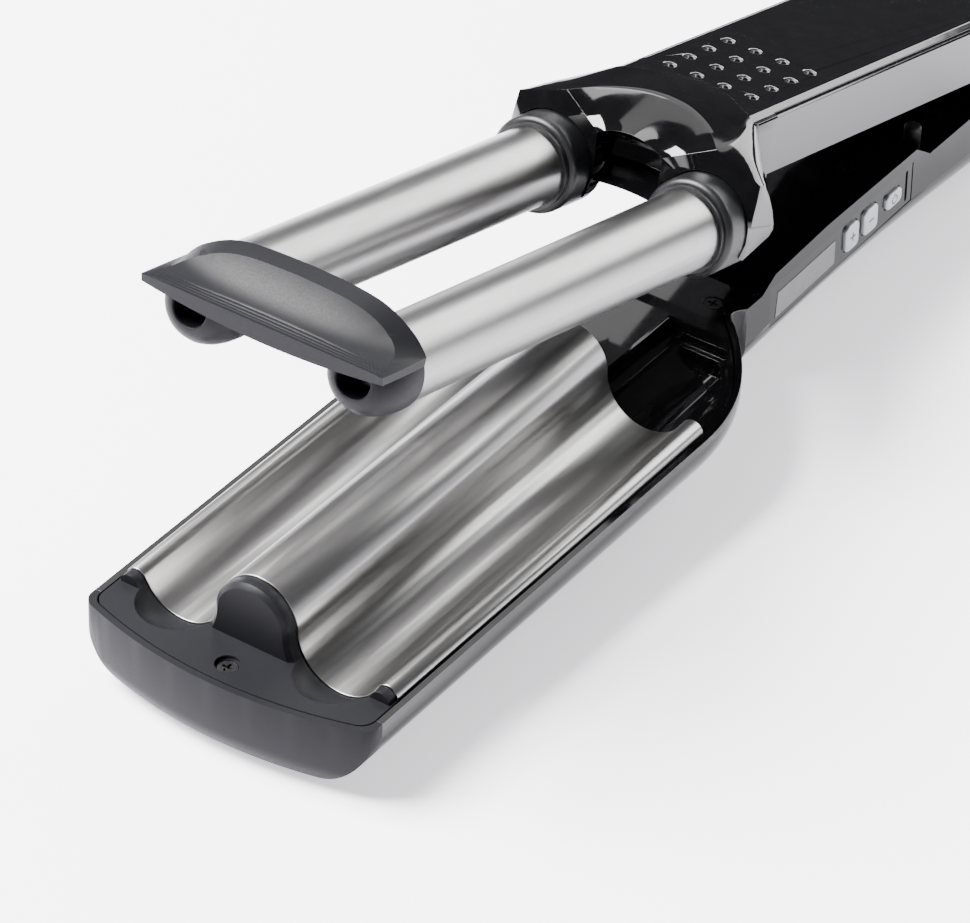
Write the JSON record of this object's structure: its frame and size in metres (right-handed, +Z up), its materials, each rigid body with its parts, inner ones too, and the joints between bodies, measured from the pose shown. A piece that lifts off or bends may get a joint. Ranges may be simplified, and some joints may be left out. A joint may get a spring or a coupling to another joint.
{
  "type": "hair waver",
  "caption": "Hair waver: two heated barrels on a hinged upper arm close into the heated wave plate of the lower arm; display and buttons on one side.",
  "frame": {"origin": "bottom centre of the box around the open tool", "axes": "+Y from the tips towards the hinge and the cord outlet, +X the side with the display and buttons, +Z up"},
  "size_m": [0.0778, 0.3276, 0.1086],
  "materials": {
    "titanium": "satin titanium coating",
    "satin_grey": "satin heat-resistant plastic",
    "piano_black": "high gloss",
    "collar_black": "satin",
    "bezel_grey": "gloss",
    "window_grey": "clear coated",
    "button_silver": "satin",
    "screw_steel": "plated",
    "ceramic": "fired",
    "circuit_board": "solder mask",
    "rubber_black": "moulded"
  },
  "bodies": {
    "lower_arm": {"front_shell": "satin_grey", "head_shell": "piano_black", "handle_shell": "piano_black", "wave_plate": "titanium", "tip_cap": "satin_grey", "tip_cap_screw": "screw_steel", "heater_carrier": "ceramic", "plate_heater_left": "ceramic", "plate_heater_right": "ceramic", "thermistor": "ceramic", "thermal_fuse": "screw_steel", "deck_cover": "piano_black", "deck_screws": "screw_steel", "stop_bumpers": "rubber_black", "control_board": "circuit_board", "tact_switches": "screw_steel", "display_module": "circuit_board", "control_bezel": "bezel_grey", "display_window": "window_grey", "hinge_pin": "screw_steel", "pin_cap_left": "piano_black", "pin_cap_right": "piano_black", "hinge_spring": "screw_steel", "hinge_washers": "screw_steel", "swivel_retainer": "satin_grey"},
    "upper_arm": {"bridge": "satin_grey", "yoke_upper": "piano_black", "yoke_lower": "piano_black", "arm_shell": "piano_black", "arm_top_panel": "piano_black", "arm_inner_cover": "piano_black", "arm_screws": "screw_steel", "barrel_left": "titanium", "barrel_right": "titanium", "barrel_heater_left": "ceramic", "barrel_heater_right": "ceramic", "collar_left": "collar_black", "collar_right": "collar_black", "nose_cup_left": "satin_grey", "nose_cup_right": "satin_grey", "nose_screw_left": "screw_steel", "nose_screw_right": "screw_steel"},
    "cord_swivel": {"swivel_gland": "rubber_black"},
    "plus_key": {"button_plus": "button_silver"},
    "minus_key": {"button_minus": "button_silver"},
    "power_key": {"button_power": "button_silver"}
  },
  "joints": [
    {"name": "arm_hinge", "type": "hinge", "parent": "lower_arm", "child": "upper_arm", "pos_m": [0, 0.1348, 0.0096], "axis": [1, 0, 0], "range_deg": [0, 14.3], "stiffness_Nm_per_rad": 1.2, "springref_deg": -34.38, "deforming": ["hinge_spring"]},
    {"name": "cord_turn", "type": "hinge", "parent": "lower_arm", "child": "cord_swivel", "pos_m": [0, 0.1588, 0.0111], "axis": [0, 1, 0], "continuous": true},
    {"name": "plus_press", "type": "slide", "parent": "lower_arm", "child": "plus_key", "axis": [-1, 0, 0], "range_m": [0, 0.0005], "stiffness_N_per_m": 800, "springref_m": -0.0005},
    {"name": "minus_press", "type": "slide", "parent": "lower_arm", "child": "minus_key", "axis": [-1, 0, 0], "range_m": [0, 0.0005], "stiffness_N_per_m": 800, "springref_m": -0.0005},
    {"name": "power_press", "type": "slide", "parent": "lower_arm", "child": "power_key", "axis": [-1, 0, 0], "range_m": [0, 0.0005], "stiffness_N_per_m": 800, "springref_m": -0.0005}
  ]
}
